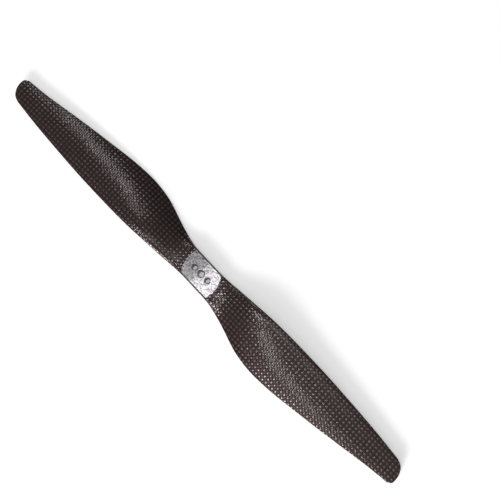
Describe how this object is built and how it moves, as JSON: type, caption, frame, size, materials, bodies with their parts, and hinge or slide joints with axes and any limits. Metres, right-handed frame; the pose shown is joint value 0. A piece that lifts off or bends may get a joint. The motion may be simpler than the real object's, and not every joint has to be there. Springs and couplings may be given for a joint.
{
  "type": "propeller",
  "caption": "Fixed-pitch two-blade propeller in woven carbon laminate, with a flat hub, raised clamping pads, a central bore and two bolt holes.",
  "frame": {"origin": "on the bore axis, at the face of the lower pad that sits on the motor", "axes": "+X out along one blade, +Y towards that blade's leading edge, +Z along the bore to the thrust side"},
  "size_m": [0.3556, 0.04, 0.0116],
  "materials": {
    "woven_carbon": "gloss lacquer over plain-weave carbon",
    "clamping_pad": "pebbled, with a metallic glint",
    "straight_carbon": "matte, straight fibres",
    "pressed_carbon": "matte pressed plies",
    "foam_core": "closed-cell foam"
  },
  "bodies": {
    "root": {"upper_skin": "woven_carbon", "lower_skin": "woven_carbon", "upper_pad": "clamping_pad", "lower_pad": "clamping_pad", "upper_strap": "straight_carbon", "lower_strap": "straight_carbon", "leading_tow_a": "straight_carbon", "leading_tow_b": "straight_carbon", "hub_block": "pressed_carbon", "blade_core_a": "foam_core", "blade_core_b": "foam_core"}
  },
  "joints": []
}
